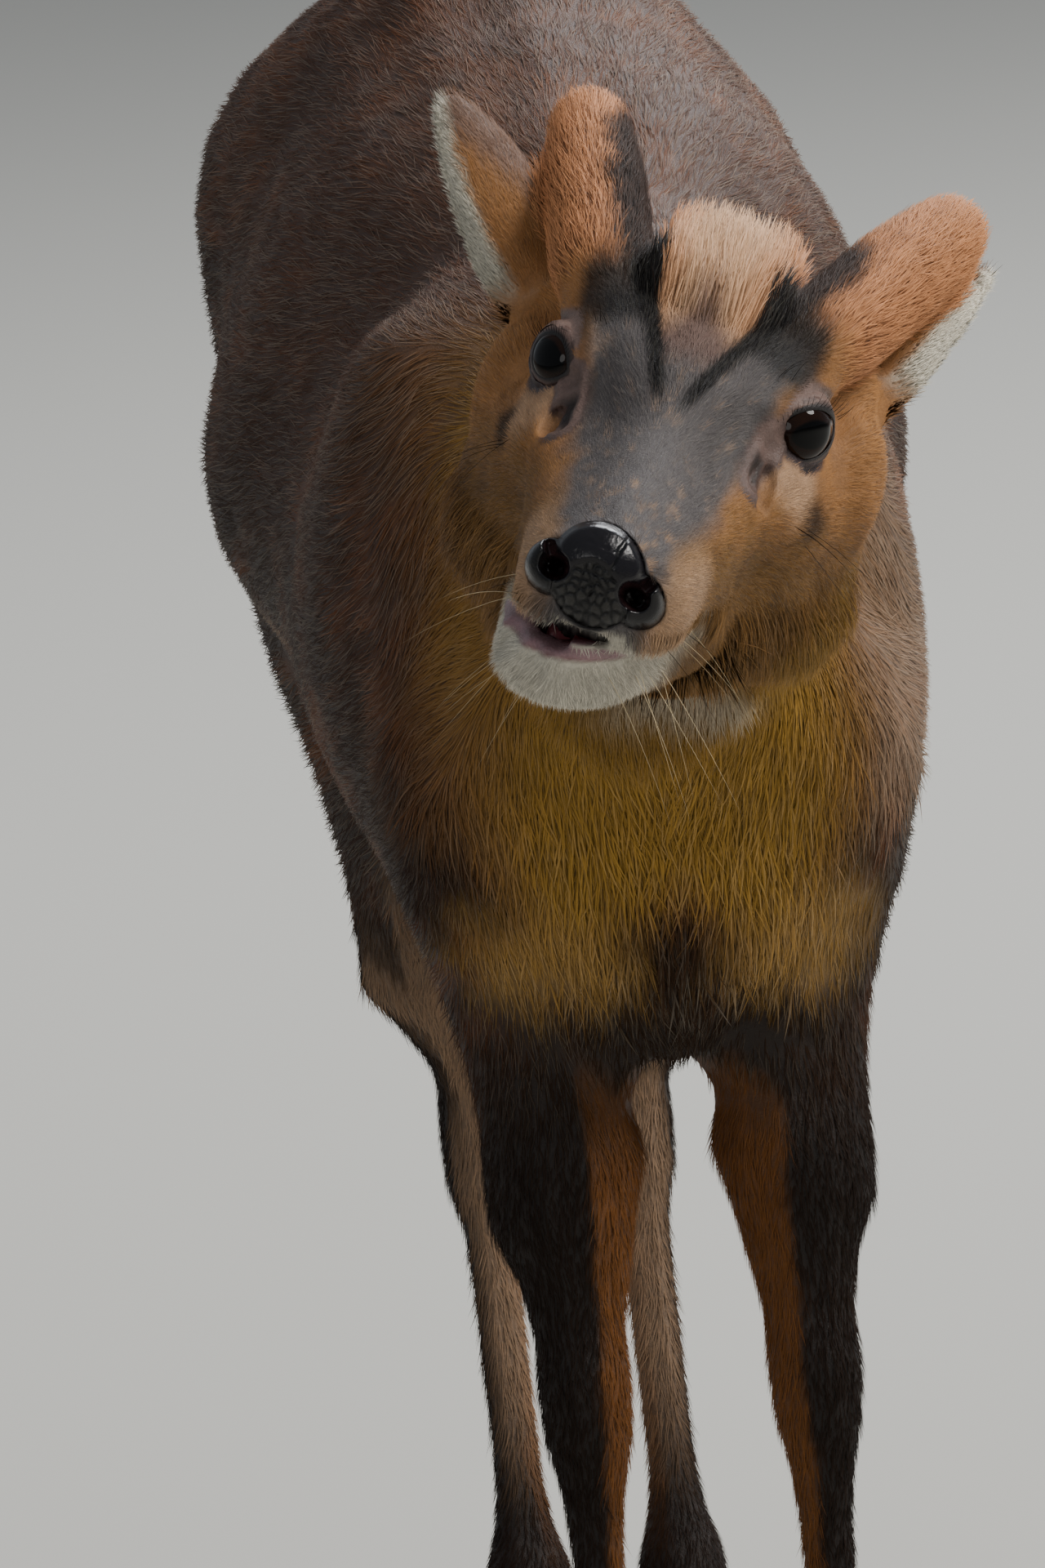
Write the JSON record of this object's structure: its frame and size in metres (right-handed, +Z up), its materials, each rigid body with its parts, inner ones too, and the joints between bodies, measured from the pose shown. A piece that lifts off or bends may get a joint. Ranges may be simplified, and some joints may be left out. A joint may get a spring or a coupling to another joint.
{
  "type": "standing muntjac buck",
  "caption": "Life-size still model of a small deer standing square, head lowered, turned and tilted, with furred pedicles and an open mouth.",
  "frame": {"origin": "on the ground, under the middle of the whole box", "axes": "+Z up, -Y the way the body faces, +X to the animal's left"},
  "size_m": [0.2192, 0.725, 0.5686],
  "materials": {
    "coat": "short dense hair, grey-brown to ginger",
    "nose_skin": "wet bare skin",
    "mouth": "wet pink skin",
    "eye": "glossy dark eye",
    "hoof": "black horn, satin"
  },
  "bodies": {
    "root": {"head": "coat", "lower_jaw": "coat", "ear_left": "coat", "ear_right": "coat", "pedicle_left": "coat", "pedicle_right": "coat", "crest": "coat", "neck": "coat", "thorax": "coat", "abdomen": "coat", "rump": "coat", "tail": "coat", "forearm_front_left": "coat", "forearm_front_right": "coat", "shank_hind_left": "coat", "shank_hind_right": "coat", "cannon_front_left": "coat", "cannon_front_right": "coat", "cannon_hind_left": "coat", "cannon_hind_right": "coat", "foot_front_left": "coat", "foot_front_right": "coat", "foot_hind_left": "coat", "foot_hind_right": "coat", "nose": "nose_skin", "tongue": "mouth", "eye_left": "eye", "eye_right": "eye", "hoof_front_left_left": "hoof", "hoof_front_left_right": "hoof", "hoof_front_right_left": "hoof", "hoof_front_right_right": "hoof", "hoof_hind_left_left": "hoof", "hoof_hind_left_right": "hoof", "hoof_hind_right_left": "hoof", "hoof_hind_right_right": "hoof", "dewclaw_front_left_left": "hoof", "dewclaw_front_left_right": "hoof", "dewclaw_front_right_left": "hoof", "dewclaw_front_right_right": "hoof", "dewclaw_hind_left_left": "hoof", "dewclaw_hind_left_right": "hoof", "dewclaw_hind_right_left": "hoof", "dewclaw_hind_right_right": "hoof"}
  },
  "joints": []
}
